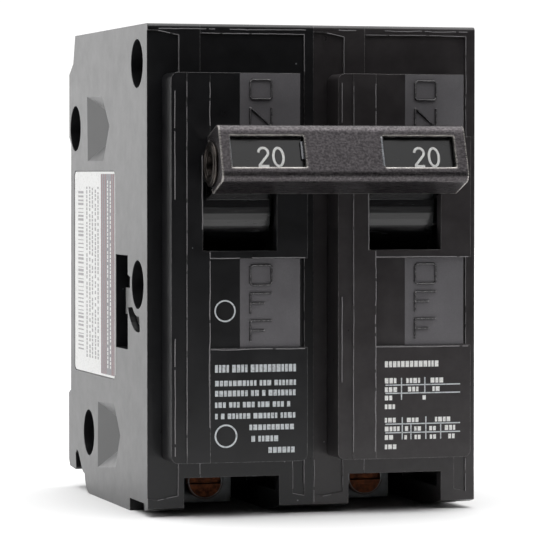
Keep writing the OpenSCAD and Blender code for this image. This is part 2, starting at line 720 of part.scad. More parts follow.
// The coil spring between the contact arm and the cradle
module toggle_spring(pole) {
    run = spring_high - spring_low;
    gap = peg_r + spring_wire_r + 0.15;
    length = norm(run) - 2 * gap;
    turns = 7;
    per_turn = 12;
    sides = 6;
    rings = turns * per_turn;
    pitch = length / turns;
    points = [for (i = [0:rings], k = [0:sides - 1])
        let (t = 360 * i / per_turn, a = 360 * k / sides, r = spring_r - spring_wire_r + spring_wire_r * cos(a))
        [r * cos(t), r * sin(t), pitch * i / per_turn + spring_wire_r * sin(a)]];
    walls = [for (i = [0:rings - 1], k = [0:sides - 1]) let (n = (k + 1) % sides)
        [i * sides + k, i * sides + n, (i + 1) * sides + n, (i + 1) * sides + k]];
    ends = [[for (k = [sides - 1:-1:0]) k], [for (k = [0:sides - 1]) rings * sides + k]];
    color("#9b9da0") at_pole(pole) translate([spring_x, spring_low[0], spring_low[1]])
        rotate([atan2(-run[0], run[1]), 0, 0]) translate([0, 0, gap])
            polyhedron(points = points, faces = concat(walls, ends), convexity = 6);
}

// The plate that the magnet pulls to release the latch
module armature(pole) {
    y = [armature_y - armature_t / 2, armature_y + armature_t / 2];
    color("#77797b") at_pole(pole) {
        block([mech_x - 4.5, mech_x + 4.5], y, [armature_z - 1, latch_z + 0.8]);
        rod_x([armature_y, armature_z], armature_pin_r, [wall + 1.2, right_in - 1.2]);
    }
}

// The steel yoke round the bimetal
module magnet_yoke(pole) {
    color("#6b6d70") at_pole(pole) {
        block(yoke_x, [yoke_y[1] - yoke_t, yoke_y[1]], yoke_z);
        block([yoke_x[0], yoke_x[0] + yoke_t], [yoke_y[0], yoke_y[1] - yoke_t + fuzz], yoke_z);
        block([yoke_x[1] - yoke_t, yoke_x[1]], [yoke_y[0], yoke_y[1] - yoke_t + fuzz], yoke_z);
    }
}

// The strip that bends as the load current heats it
module bimetal(pole) {
    color("#a9a08c") at_pole(pole)
        block(bimetal_x, [bimetal_y, bimetal_y + bimetal_t], [strap_z + strap_t, bimetal_top]);
}

// The flexible copper braid from the contact arm to the bimetal
module braid(pole) {
    r = 0.8;
    sides = 8;
    low = min(arm_z - 9, bimetal_top - 3);
    end_y = bimetal_y + bimetal_t / 2;
    end_z = bimetal_top - 2.8;
    path = [[mech_x, arm_y, arm_z - 5.2 - r], [mech_x - 0.8, arm_y + 1.4, arm_z - 7.8],
        [mech_x - 3, arm_y + 4.6, low - 0.4],
        [mech_x - 5, arm_y + 8.2, low - 0.9], [mech_x - 6.2, arm_y + 12, low - 0.6],
        [mech_x - 6.3, armature_y - 2, end_z - 0.2], [mech_x - 6.2, armature_y + 1.2, end_z],
        [mech_x - 5.4, bimetal_y, end_z], [bimetal_x[0] - 1.6, end_y, end_z], [bimetal_x[0], end_y, end_z]];
    last = len(path) - 1;
    function heading(i) = let (d = path[min(i + 1, last)] - path[max(i - 1, 0)]) d / norm(d);
    points = [for (i = [0:last], k = [0:sides - 1])
        let (t = heading(i), s = cross(t, [1, 0.3, 1]), u = s / norm(s), v = cross(t, u), a = 360 * k / sides)
        path[i] + r * (cos(a) * u + sin(a) * v)];
    walls = [for (i = [0:last - 1], k = [0:sides - 1]) let (n = (k + 1) % sides)
        [i * sides + k, i * sides + n, (i + 1) * sides + n, (i + 1) * sides + k]];
    ends = [[for (k = [sides - 1:-1:0]) k], [for (k = [0:sides - 1]) last * sides + k]];
    color("#b8794f") at_pole(pole) polyhedron(points = points, faces = concat(walls, ends), convexity = 4);
}

// The copper strap from the bimetal's foot to the lug
module load_strap(pole) {
    color("#b5774c") at_pole(pole) difference() {
        union() {
            block(strap_x, [lug_y[1], tab_y + strap_t], [strap_z, strap_z + strap_t]);
            block(strap_x, [lug_y[1], lug_y[1] + strap_t], [lug_z[0] + 1, strap_z + strap_t]);
            block(strap_x, [tab_y, tab_y + strap_t], [strap_z, calibration_z + 2.6]);
        }
        rod_y(mech_x, calibration_z, calibration_r + pin_gap, [tab_y - 1, tab_y + strap_t + 1]);
    }
}

// The screw that sets the bimetal
module calibration_screw(pole) {
    head = tab_y + strap_t;
    color("#8c8e90") at_pole(pole) difference() {
        union() {
            rod_y(mech_x, calibration_z, calibration_r, [bimetal_y + bimetal_t + 0.1, head + 0.5]);
            rod_y(mech_x, calibration_z, 2.1, [head + 0.1, head + 1.5]);
        }
        block([mech_x - 3, mech_x + 3], [head + 0.9, head + 2], [calibration_z - 0.3, calibration_z + 0.3]);
    }
}

// The aluminium lug with a hole for the wire and one for its screw
module lug(pole) {
    color("#a7a9aa") at_pole(pole) difference() {
        block(lug_x, lug_y, lug_z);
        translate([lug_mid, wire_y, lug_z[0] - 1]) cylinder(r = wire_r, h = lug_h + 2);
        rod_y(lug_mid, screw_z, screw_r + pin_gap, [lug_y[0] - 1, wire_y]);
    }
}

// The lug's slotted screw
module lug_screw(pole) {
    slot_d = 0.8;
    slot_half = 0.45;
    color("#a8744a") at_pole(pole) difference() {
        union() {
            rod_y(lug_mid, screw_z, screw_head_r, screw_head_y);
            rod_y(lug_mid, screw_z, screw_r, [screw_head_y[1] - fuzz, shoe_y[0] - 0.05]);
        }
        block([lug_mid - screw_head_r - 1, lug_mid + screw_head_r + 1],
            [screw_head_y[0] - 1, screw_head_y[0] + slot_d], [screw_z - slot_half, screw_z + slot_half]);
    }
}

// The shoe at the screw's tip that presses on the wire
module pressure_shoe(pole) {
    color("#94979a") at_pole(pole) rod_y(lug_mid, screw_z, screw_r, shoe_y);
}

color("#1b1c1e") at_pole(LEFT) pole_cover(LEFT);  // left_pole_cover
color("#1f2022") at_pole(LEFT) pole_base(LEFT);  // left_pole_base
color("#2c2a2b") at_pole(RIGHT) pole_cover(RIGHT);  // right_pole_cover
color("#383536") at_pole(RIGHT) pole_base(RIGHT);  // right_pole_base
case_rivets();
rating_label();
handle(LEFT);  // left_handle
handle(RIGHT);  // right_handle
handle_tie();
tie_pin();
common_trip_bar();
contact_arm(LEFT);  // left_contact_arm
contact_arm(RIGHT);  // right_contact_arm
contact_tip(LEFT);  // left_contact_tip
contact_tip(RIGHT);  // right_contact_tip
arm_pin(LEFT);  // left_arm_pin
arm_pin(RIGHT);  // right_arm_pin
fixed_contact(LEFT);  // left_fixed_contact
fixed_contact(RIGHT);  // right_fixed_contact
line_jaw(LEFT);  // left_line_jaw
line_jaw(RIGHT);  // right_line_jaw
jaw_spring(LEFT);  // left_jaw_spring
jaw_spring(RIGHT);  // right_jaw_spring
arc_plates(LEFT);  // left_arc_plates
arc_plates(RIGHT);  // right_arc_plates
arc_liners(LEFT);  // left_arc_liners
arc_liners(RIGHT);  // right_arc_liners
cradle(LEFT);  // left_cradle
cradle(RIGHT);  // right_cradle
cradle_pin(LEFT);  // left_cradle_pin
cradle_pin(RIGHT);  // right_cradle_pin
toggle_spring(LEFT);  // left_toggle_spring
toggle_spring(RIGHT);  // right_toggle_spring
armature(LEFT);  // left_armature
armature(RIGHT);  // right_armature
magnet_yoke(LEFT);  // left_magnet_yoke
magnet_yoke(RIGHT);  // right_magnet_yoke
bimetal(LEFT);  // left_bimetal
bimetal(RIGHT);  // right_bimetal
braid(LEFT);  // left_braid
braid(RIGHT);  // right_braid
load_strap(LEFT);  // left_load_strap
load_strap(RIGHT);  // right_load_strap
calibration_screw(LEFT);  // left_calibration_screw
calibration_screw(RIGHT);  // right_calibration_screw
lug(LEFT);  // left_lug
lug(RIGHT);  // right_lug
lug_screw(LEFT);  // left_lug_screw
lug_screw(RIGHT);  // right_lug_screw
pressure_shoe(LEFT);  // left_pressure_shoe
pressure_shoe(RIGHT);  // right_pressure_shoe
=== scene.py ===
import json
import math

import bmesh
import bpy
import numpy as np
from mathutils import Matrix, Vector

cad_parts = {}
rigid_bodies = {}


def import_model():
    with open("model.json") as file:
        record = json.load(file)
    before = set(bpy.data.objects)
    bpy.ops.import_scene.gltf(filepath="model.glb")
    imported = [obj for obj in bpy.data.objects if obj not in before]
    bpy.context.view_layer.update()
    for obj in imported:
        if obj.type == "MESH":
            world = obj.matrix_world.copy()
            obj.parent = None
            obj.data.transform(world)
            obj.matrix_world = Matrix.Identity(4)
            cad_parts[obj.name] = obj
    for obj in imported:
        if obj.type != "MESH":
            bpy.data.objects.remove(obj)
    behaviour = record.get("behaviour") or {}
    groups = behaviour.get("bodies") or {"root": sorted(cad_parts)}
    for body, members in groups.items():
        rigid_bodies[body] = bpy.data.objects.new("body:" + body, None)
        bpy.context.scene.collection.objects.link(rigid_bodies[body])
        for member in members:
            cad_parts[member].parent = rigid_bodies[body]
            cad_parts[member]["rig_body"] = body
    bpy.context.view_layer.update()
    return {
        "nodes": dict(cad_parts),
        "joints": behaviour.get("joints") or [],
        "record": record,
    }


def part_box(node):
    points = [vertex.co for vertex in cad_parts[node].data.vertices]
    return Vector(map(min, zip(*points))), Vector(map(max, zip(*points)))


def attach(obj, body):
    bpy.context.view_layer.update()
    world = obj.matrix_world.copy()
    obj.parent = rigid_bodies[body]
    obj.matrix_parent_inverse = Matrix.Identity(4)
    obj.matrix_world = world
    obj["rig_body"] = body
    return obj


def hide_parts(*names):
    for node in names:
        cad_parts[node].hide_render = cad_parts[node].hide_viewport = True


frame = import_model()

# %% [markdown]
# The frame is the imported assembly of a two-pole breaker: moulded poles, handles, a tie bar and all the parts
# inside. Blender adds what moulding, printing and use leave on it. First come the faces that the later cells
# build on, read off the frame's boxes. The marks on those faces are given in millimetres from the pole's left
# side and from the floor, so they don't follow a change of size.

# %% Places on the breaker
MM = 0.001


def box_mm(node):
    """A node's lowest and highest corners in millimetres."""
    low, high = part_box(node)
    return np.array(low) / MM, np.array(high) / MM


base_low, base_high = box_mm("right_pole_base")
tie_low, tie_high = box_mm("handle_tie")
label_low, label_high = box_mm("rating_label")
pitch = base_high[0]
case_top = base_high[2]
nose_y = base_low[1]
zone_y = nose_y + 0.5
front_y = nose_y + 5.6
part_x = base_low[0]
pole_left = {"left": -pitch, "right": 0.0}
swing = next(j for j in frame["joints"] if j["name"] == "handle_swing")
pivot = np.array(swing["pos_m"]) / MM
print(f"pole pitch {pitch:.1f} mm, nose face at y {nose_y:.1f}, handle pivot at z {pivot[2]:.1f}")

# %% [markdown]
# Colours are written as sRGB hex codes, as a paint maker gives them, but Blender works in linear light. One
# function turns the first into the second.

# %% Colour and shader helpers


def colour(code):
    """sRGB to linear: c / 12.92 for the darkest values, otherwise ((c + 0.055) / 1.055) to the power 2.4."""
    parts = np.array([int(code[i : i + 2], 16) for i in (1, 3, 5)]) / 255
    linear = np.where(parts <= 0.04045, parts / 12.92, ((parts + 0.055) / 1.055) ** 2.4)
    return (*linear.tolist(), 1.0)


def add(tree, kind, inputs=None, **settings):
    """Adds one shader node with its settings, and gives each input its value or the output that feeds it."""
    node = tree.nodes.new("ShaderNode" + kind)
    for key, value in settings.items():
        setattr(node, key, value)
    for key, value in (inputs or {}).items():
        if isinstance(value, bpy.types.NodeSocket):
            tree.links.new(value, node.inputs[key])
        else:
            node.inputs[key].default_value = value
    return node


def blank(name, **constants):
    """A material with one Principled shader, its constants set on its own sockets, and Object coordinates."""
    made = bpy.data.materials.new(name)
    made.use_nodes = True
    tree = made.node_tree
    tree.nodes.clear()
    shader = add(tree, "BsdfPrincipled", constants)
    add(tree, "OutputMaterial", {"Surface": shader.outputs[0]})
    return made, tree, shader, add(tree, "TexCoord").outputs["Object"]


def edge_wear(tree, radius, breakup):
    """Where an edge is: 1 minus the dot product of the true normal and one that is rounded over `radius`.
    The second value is the rounded normal, which makes an edge catch the light as a real one does."""
    round_normal = add(tree, "Bevel", {"Radius": radius}, samples=6).outputs[0]
    flat = add(tree, "NewGeometry").outputs["Normal"]
    match = add(tree, "VectorMath", {0: round_normal, 1: flat}, operation="DOT_PRODUCT").outputs["Value"]
    edge = add(tree, "MapRange", {"Value": match, "From Min": 0.992, "From Max": 0.86})
    broken = add(tree, "MapRange", {"Value": breakup, "From Min": 0.38, "From Max": 0.62, "To Min": 0.25})
    both = add(tree, "Math", {0: edge.outputs[0], 1: broken.outputs[0]}, operation="MULTIPLY")
    return both.outputs[0], round_normal


# %% [markdown]
# The cases are phenolic, a thermoset filled with wood flour and pressed in a hot steel mould. The eye sees a
# deep black with a faint brown or grey mottle, a satin gloss with a little orange peel, and thin pale lines
# where the flash was knocked off the edges. The flash line comes from the edge mask, so every edge has one.
# The two poles are one black resin; the right one is given a lighter black as painted light, for the
# brighter light that falls on that pole.

# %% Moulded phenolic
MOTTLE = 3.0 * MM
PEEL = 0.35 * MM
FLASH = 0.13 * MM
CASE_IOR = 1.5
DUST_SPACING = 2.2 * MM
DUST = "#77777a"


def moulded_phenolic(name, resin, filler, flash, roughness=0.3, flash_share=0.6):
    made, tree, shader, place = blank(name, IOR=CASE_IOR)
    mottle = add(tree, "TexNoise", {"Vector": place, "Scale": 1 / MOTTLE, "Detail": 5.0, "Roughness": 0.65})
    speck = add(tree, "TexNoise", {"Vector": place, "Scale": 1 / (0.5 * MM), "Detail": 2.0})
    peel = add(tree, "TexNoise", {"Vector": place, "Scale": 1 / PEEL, "Detail": 3.0})
    patch = add(tree, "MapRange", {"Value": mottle.outputs[0], "From Min": 0.35, "From Max": 0.65})
    body = add(tree, "Mix", {0: patch.outputs[0], 6: colour(resin), 7: colour(filler)}, data_type="RGBA")
    edge, round_normal = edge_wear(tree, FLASH, speck.outputs[0])
    share = add(tree, "Math", {0: edge, 1: flash_share}, operation="MULTIPLY")
    worn = add(tree, "Mix", {0: share.outputs[0], 6: body.outputs[2], 7: colour(flash)}, data_type="RGBA")
    # Fine dust that settles in the mould's texture: a few small pale dots in each square centimetre
    dust = add(tree, "TexVoronoi", {"Vector": place, "Scale": 1 / DUST_SPACING})
    dot = add(tree, "Math", {0: dust.outputs["Distance"], 1: 0.055}, operation="LESS_THAN")
    pick = add(tree, "SeparateColor", {"Color": dust.outputs["Color"]})
    chosen = add(tree, "Math", {0: pick.outputs[0], 1: 0.8}, operation="GREATER_THAN")
    speckle = add(tree, "Math", {0: dot.outputs[0], 1: chosen.outputs[0]}, operation="MULTIPLY")
    dusty = add(tree, "Mix", {0: speckle.outputs[0], 6: worn.outputs[2], 7: colour(DUST)}, data_type="RGBA")
    limits = {"To Min": roughness - 0.07, "To Max": roughness + 0.09}
    gloss = add(tree, "MapRange", {"Value": mottle.outputs[0], **limits})
    relief = {"Strength": 0.1, "Distance": 0.006 * MM, "Normal": round_normal}
    bump = add(tree, "Bump", {"Height": peel.outputs[0], **relief})
    tree.links.new(dusty.outputs[2], shader.inputs["Base Color"])
    tree.links.new(gloss.outputs[0], shader.inputs["Roughness"])
    tree.links.new(bump.outputs[0], shader.inputs["Normal"])
    return made


phenolic_black = moulded_phenolic("phenolic_black", "#0e0e10", "#161618", "#9c999b")
# The right pole's lighter tones are painted light, for the brighter light on that pole.
phenolic_black_painted_lighter = moulded_phenolic("phenolic_black_painted_lighter", "#2b2829", "#343132", "#a09c9c")
phenolic_bar = moulded_phenolic("phenolic_trip_bar", "#1a1917", "#24221f", "#6f6c68")

# %% [markdown]
# The handles are polycarbonate from a polished mould, so they are glossier than the cases and show soft
# scuffs from fingers. The panels beside them are the opposite: the mould is spark-eroded there, which leaves
# a dull grey face that lettering stands out on.

# %% Handle gloss and matt panel
SCUFF = 0.9 * MM
SPARK_GRAIN = 0.12 * MM


def polished_polycarbonate(name, body, scuffed):
    made, tree, shader, place = blank(name, IOR=1.58)
    long_way = add(tree, "Mapping", {"Vector": place, "Scale": (0.25, 1.0, 2.5)})
    scuff = add(tree, "TexNoise", {"Vector": long_way.outputs[0], "Scale": 1 / SCUFF, "Detail": 4.0})
    edge, round_normal = edge_wear(tree, 0.12 * MM, scuff.outputs[0])
    share = add(tree, "Math", {0: edge, 1: 0.35}, operation="MULTIPLY")
    tone = add(tree, "Mix", {0: share.outputs[0], 6: colour(body), 7: colour(scuffed)}, data_type="RGBA")
    shine = {"From Min": 0.3, "From Max": 0.75, "To Min": 0.12, "To Max": 0.3}
    gloss = add(tree, "MapRange", {"Value": scuff.outputs[0], **shine})
    relief = {"Strength": 0.15, "Distance": 0.004 * MM, "Normal": round_normal}
    bump = add(tree, "Bump", {"Height": scuff.outputs[0], **relief})
    tree.links.new(tone.outputs[2], shader.inputs["Base Color"])
    tree.links.new(gloss.outputs[0], shader.inputs["Roughness"])
    tree.links.new(bump.outputs[0], shader.inputs["Normal"])
    return made


def spark_eroded(name, body, high):
    made, tree, shader, place = blank(name, IOR=CASE_IOR, Roughness=0.75)
    shader.inputs["Specular IOR Level"].default_value = 0.3
    grain = add(tree, "TexNoise", {"Vector": place, "Scale": 1 / SPARK_GRAIN, "Detail": 2.0})
    cloud = add(tree, "TexNoise", {"Vector": place, "Scale": 1 / (4 * MM), "Detail": 3.0})
    amount = add(tree, "Math", {0: grain.outputs[0], 1: cloud.outputs[0]}, operation="MULTIPLY")
    tone = add(tree, "Mix", {0: amount.outputs[0], 6: colour(body), 7: colour(high)}, data_type="RGBA")
    bump = add(tree, "Bump", {"Strength": 0.5, "Distance": 0.01 * MM, "Height": grain.outputs[0]})
    tree.links.new(tone.outputs[2], shader.inputs["Base Color"])
    tree.links.new(bump.outputs[0], shader.inputs["Normal"])
    return made


handle_gloss = polished_polycarbonate("polycarbonate_black", "#0b0b0d", "#605c5c")
matt_panel = spark_eroded("phenolic_matt_panel", "#585659", "#7b797c")
# The flash tone is partly mould flash and chips, partly painted highlight along the case's edges and steps.
flash_and_edge_highlight = spark_eroded("phenolic_flash_and_painted_highlight", "#6b696b", "#b3b1b3")

# %% [markdown]
# The metals differ by how they were finished. The tie bar is steel blackened in a hot salt bath, brown in
# places and near white along its edges and bends.
# Current parts are copper, contacts are silver, and the lug is tin-plated aluminium, darkened as painted
# shade for its deep recess.
# One function makes them all: a base tone, a second tone in patches, drawing lines as a stretched noise, and
# a rubbed edge. Only the numbers change.

# %% Metals


def worked_metal(name, tone, patch_tone, edge_tone, patch=2.0, line=0.08, roughness=0.35, spread=0.12,
                 along=(0.04, 1, 1), metallic=1.0, edge_share=0.7, edge_radius=0.18):
    """Metal with drawing lines along one axis; `along` is the stretch of the noise, small along the lines."""
    made, tree, shader, place = blank(name, Metallic=metallic)
    patches = {"Scale": 1 / (patch * MM), "Detail": 5.0, "Roughness": 0.6}
    cloud = add(tree, "TexNoise", {"Vector": place, **patches})
    drawn = add(tree, "Mapping", {"Vector": place, "Scale": along})
    lines = add(tree, "TexNoise", {"Vector": drawn.outputs[0], "Scale": 1 / (line * MM), "Detail": 3.0})
    amount = add(tree, "MapRange", {"Value": cloud.outputs[0], "From Min": 0.4, "From Max": 0.62})
    base = add(tree, "Mix", {0: amount.outputs[0], 6: colour(tone), 7: colour(patch_tone)}, data_type="RGBA")
    edge, round_normal = edge_wear(tree, edge_radius * MM, lines.outputs[0])
    share = add(tree, "Math", {0: edge, 1: edge_share}, operation="MULTIPLY")
    worn = add(tree, "Mix", {0: share.outputs[0], 6: base.outputs[2], 7: colour(edge_tone)}, data_type="RGBA")
    limits = {"From Min": 0.3, "From Max": 0.7, "To Min": roughness - spread, "To Max": roughness + spread}
    gloss = add(tree, "MapRange", {"Value": lines.outputs[0], **limits})
    relief = {"Strength": 0.3, "Distance": 0.01 * MM, "Normal": round_normal}
    bump = add(tree, "Bump", {"Height": lines.outputs[0], **relief})
    tree.links.new(worn.outputs[2], shader.inputs["Base Color"])
    tree.links.new(gloss.outputs[0], shader.inputs["Roughness"])
    tree.links.new(bump.outputs[0], shader.inputs["Normal"])
    return made


blackened_steel = worked_metal("blackened_steel", "#393638", "#5c585a", "#f2ede6", patch=0.3, roughness=0.31,
                               spread=0.14, metallic=0.85, edge_share=1.0, edge_radius=0.5)
pin_steel = worked_metal("turned_pin_steel", "#2b2725", "#3d3835", "#c6c0b8", patch=0.5, roughness=0.34)
plated_steel = worked_metal("zinc_plated_steel", "#9a9c9b", "#b3b1a4", "#d6d6d2", roughness=0.34)
rivet_steel = worked_metal("peened_rivet_steel", "#8b857b", "#a39c8e", "#c9c4ba", patch=1.0, roughness=0.4)
spring_steel = worked_metal("spring_steel_wire", "#84868a", "#9b9ca0", "#c4c5c8", line=0.05, roughness=0.3)
copper = worked_metal("rolled_copper", "#b87a52", "#9a5f3e", "#e2b08c", roughness=0.32, along=(1, 0.04, 1))
silver = worked_metal("silver_contact", "#cfcfc8", "#b4b2a6", "#eeeeea", patch=0.8, roughness=0.3)
UPRIGHT = (1, 1, 0.04)
two_metals = worked_metal("bimetal_strip", "#a59c88", "#8e8878", "#cfc8b8", roughness=0.38, along=UPRIGHT)
# The lug's aluminium is painted a darker grey: painted shade for the deep recess it sits in.
tinned_aluminium_painted_shade = worked_metal("tinned_aluminium_painted_shade", "#7f8182", "#6c6e70", "#c4c6c5", roughness=0.42,
                                along=UPRIGHT)
screw_copper = worked_metal("tarnished_screw", "#2c1a13", "#54301f", "#bfae92", patch=0.7, line=0.1,
                            roughness=0.36)

# %% [markdown]
# Three finishes are left. The arc chute's walls are vulcanised fibre, a red-brown board with long pale
# fibres. The rating label is coated paper, nearly white, with a fine tooth. The marks on the cases are pad
# printed: thin, light grey, and slightly starved of ink in places.

# %% Fibre, paper and ink


def fibre_board(name, board, strands):
    made, tree, shader, place = blank(name, IOR=1.5, Roughness=0.7)
    pulled = add(tree, "Mapping", {"Vector": place, "Scale": (1.0, 0.12, 0.35)})
    fibres = add(tree, "TexNoise", {"Vector": pulled.outputs[0], "Scale": 1 / (0.18 * MM), "Detail": 4.0})
    amount = add(tree, "MapRange", {"Value": fibres.outputs[0], "From Min": 0.5, "From Max": 0.7})
    tone = add(tree, "Mix", {0: amount.outputs[0], 6: colour(board), 7: colour(strands)}, data_type="RGBA")
    bump = add(tree, "Bump", {"Strength": 0.5, "Distance": 0.02 * MM, "Height": fibres.outputs[0]})
    tree.links.new(tone.outputs[2], shader.inputs["Base Color"])
    tree.links.new(bump.outputs[0], shader.inputs["Normal"])
    return made


def coated_sheet(name, tone, starved, tooth, roughness):
    made, tree, shader, place = blank(name, IOR=1.45, Roughness=roughness)
    pores = add(tree, "TexNoise", {"Vector": place, "Scale": 1 / tooth, "Detail": 3.0})
    amount = add(tree, "MapRange", {"Value": pores.outputs[0], "From Min": 0.52, "From Max": 0.72})
    shade = add(tree, "Mix", {0: amount.outputs[0], 6: colour(tone), 7: colour(starved)}, data_type="RGBA")
    bump = add(tree, "Bump", {"Strength": 0.3, "Distance": 0.01 * MM, "Height": pores.outputs[0]})
    tree.links.new(shade.outputs[2], shader.inputs["Base Color"])
    tree.links.new(bump.outputs[0], shader.inputs["Normal"])
    return made


fibre = fibre_board("vulcanised_fibre", "#7d4a30", "#b08660")
label_paper = coated_sheet("coated_label_paper", "#dededd", "#c6c6c4", 0.3 * MM, 0.45)
pale_ink = coated_sheet("pad_ink_grey", "#c6cacd", "#8f9395", 0.25 * MM, 0.5)
white_ink = coated_sheet("pad_ink_white", "#e4e4e2", "#b9b9b7", 0.25 * MM, 0.5)
red_ink = coated_sheet("label_ink_red", "#8d2a2c", "#6f2325", 0.25 * MM, 0.45)
band_ink = coated_sheet("label_ink_grey", "#77767a", "#8d8c8f", 0.25 * MM, 0.45)
faint_ink = coated_sheet("label_ink_faded", "#9a9899", "#b5b3b3", 0.25 * MM, 0.5)

# %% [markdown]
# Every node of the frame now gets its finish, chosen by the record's own material slots. That keeps one list
# for the whole breaker, and a node that was missed would stop the script here.

# %% Finishes on the frame
FINISHES = {
    "case_black": phenolic_black,
    "case_charcoal": phenolic_black_painted_lighter,
    "rivet_steel": rivet_steel,
    "label_paper": label_paper,
    "handle_black": handle_gloss,
    "tie_steel": blackened_steel,
    "pin_steel": pin_steel,
    "trip_black": phenolic_bar,
    "copper": copper,
    "silver": silver,
    "spring_steel": spring_steel,
    "plate_steel": plated_steel,
    "fibre": fibre,
    "bimetal_strip": two_metals,
    "lug_aluminium": tinned_aluminium_painted_shade,
    "screw_brass": screw_copper,
}
slot_of = {part["node"]: part["material_slot"] for part in frame["record"]["subparts"]}
for node, obj in frame["nodes"].items():
    obj.data.materials.clear()
    obj.data.materials.append(FINISHES[slot_of[node]])
print(f"{len(FINISHES)} finishes on {len(frame['nodes'])} nodes")

# %% [markdown]
# A CAD edge is perfectly sharp, and nothing real is. The handles and the tie bar are what a hand meets, so
# they get true rounded edges: a merged copy of the node, its flat triangles joined into faces, and a Bevel
# modifier. The copy stands for the node, which stays, hidden.

# %% Rounded handles and tie bar


def rounded_copy(node, radius, segments):
    """A copy of a CAD node: corners merged, flat faces joined, sharp edges rounded over `radius`."""
    mesh = bmesh.new()
    mesh.from_mesh(frame["nodes"][node].data)
    bmesh.ops.remove_doubles(mesh, verts=mesh.verts, dist=0.0005 * MM)
    bmesh.ops.dissolve_limit(mesh, angle_limit=math.radians(1.0), verts=mesh.verts, edges=mesh.edges)
    data = bpy.data.meshes.new(node + "_finished")
    mesh.to_mesh(data)
    mesh.free()
    data.materials.append(FINISHES[slot_of[node]])
    piece = bpy.data.objects.new(node + "_finished", data)
    bpy.context.scene.collection.objects.link(piece)
    bevel = piece.modifiers.new("rounded", "BEVEL")
    bevel.width = radius * MM
    bevel.segments = segments
    bevel.limit_method = "ANGLE"
    bevel.angle_limit = math.radians(40)
    bevel.harden_normals = False
    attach(piece, frame["nodes"][node]["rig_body"])
    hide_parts(node)
    return piece


EDGE_ROUNDS = {"left_handle": 0.3, "right_handle": 0.3, "handle_tie": 0.14, "tie_pin": 0.12}
for node, radius in EDGE_ROUNDS.items():
    rounded_copy(node, radius, 2)
print(f"rounded: {', '.join(EDGE_ROUNDS)}")

# %% [markdown]
# Lettering, print, mould flash with its painted edge highlight, and table rules are all strokes on a flat
# face. So one helper carries a small profile along paths drawn on a face: a flat profile for ink, a round one
# for raised letters, which then catch light from above on their level strokes and stay dark on their upright
# ones.

# %% Strokes and plates on a face
SUNK = 0.02
FLAT, ROUND = "flat", "round"


def face(origin, right, up):
    """A flat face in millimetres: its origin, its two directions and, outwards, right cross up."""
    right, up = np.array(right, float), np.array(up, float)
    return np.array(origin, float), right, up, np.cross(right, up)


def piece_from(name, points, faces, finish, body):
    """A mesh from points in millimetres, finished and riding a body of the frame."""
    data = bpy.data.meshes.new(name)
    data.from_pydata((np.asarray(points) * MM).tolist(), [], [list(map(int, f)) for f in faces])
    data.materials.append(finish)
    work = bmesh.new()
    work.from_mesh(data)
    bmesh.ops.recalc_face_normals(work, faces=work.faces)
    work.to_mesh(data)
    work.free()
    piece = bpy.data.objects.new(name, data)
    bpy.context.scene.collection.objects.link(piece)
    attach(piece, body)
    return piece


def profile(kind, width, height):
    """The stroke's section as (across, out) points: a sunk rectangle, or half an ellipse on a sunk foot."""
    if kind == FLAT:
        return np.array([[-width / 2, -SUNK], [-width / 2, height], [width / 2, height], [width / 2, -SUNK]])
    turn = np.linspace(math.pi, 0, 7)
    arch = np.stack([width / 2 * np.cos(turn), height * np.sin(turn)], 1)
    return np.vstack([[-width / 2, -SUNK], arch, [width / 2, -SUNK]])


def strokes(name, paths, on, width, height, finish, body, kind=FLAT):
    """One piece of many strokes. Section point (a, h) at path point p lies at p + a * mitre + h * outwards,
    and the mitre is (n1 + n2) / (1 + n1 . n2) for the normals of the two steps that meet there."""
    origin, right, up, out = on
    section = profile(kind, width, height)
    count = len(section)
    points, faces, start = [], [], 0
    for path in paths:
        line = np.array(path, float)
        closed = np.allclose(line[0], line[-1])
        step = np.diff(line, axis=0)
        step /= np.linalg.norm(step, axis=1, keepdims=True)
        side = np.stack([-step[:, 1], step[:, 0]], 1)
        before = np.vstack([side[-1:] if closed else side[:1], side])
        after = np.vstack([side, side[:1] if closed else side[-1:]])
        mitre = (before + after) / (1 + (before * after).sum(1, keepdims=True))
        flat = line[:, None] + mitre[:, None] * section[None, :, :1]
        solid = origin + flat[..., :1] * right + flat[..., 1:] * up + section[None, :, 1:] * out
        points.append(solid.reshape(-1, 3))
        i, k = np.meshgrid(np.arange(len(line) - 1), np.arange(count), indexing="ij")
        a, b = start + i * count + k, start + i * count + (k + 1) % count
        faces += np.stack([a, b, b + count, a + count], -1).reshape(-1, 4).tolist()
        if not closed:
            last = start + (len(line) - 1) * count
            faces += [list(range(start, start + count)), list(range(last, last + count))]
        start += len(line) * count
    return piece_from(name, np.vstack(points), faces, finish, body)


CUBE_FACES = np.array([[0, 1, 3, 2], [4, 6, 7, 5], [0, 4, 5, 1], [2, 3, 7, 6], [0, 2, 6, 4], [1, 5, 7, 3]])


def plates(name, areas, on, height, finish, body):
    """One piece of thin rectangular plates; an area is (left, right, low, high) along the face."""
    origin, right, up, out = on
    areas = np.array(areas, float)
    corner = np.array([[i, j, k] for i in (0, 1) for j in (2, 3) for k in (0, 1)])
    u = np.take_along_axis(areas, np.broadcast_to(corner[:, 0], (len(areas), 8)), 1)
    v = np.take_along_axis(areas, np.broadcast_to(corner[:, 1], (len(areas), 8)), 1)
    h = np.where(corner[:, 2] == 1, height, -SUNK)
    solid = origin + u[..., None] * right + v[..., None] * up + h[None, :, None] * out
    faces = (CUBE_FACES[None] + 8 * np.arange(len(areas))[:, None, None]).reshape(-1, 4)
    return piece_from(name, solid.reshape(-1, 3), faces, finish, body)


def front_face(y, pole="right"):
    """The face towards the user at depth y, with X counted from the pole's left side."""
    return face((pole_left[pole], y, 0), (1, 0, 0), (0, 0, 1))


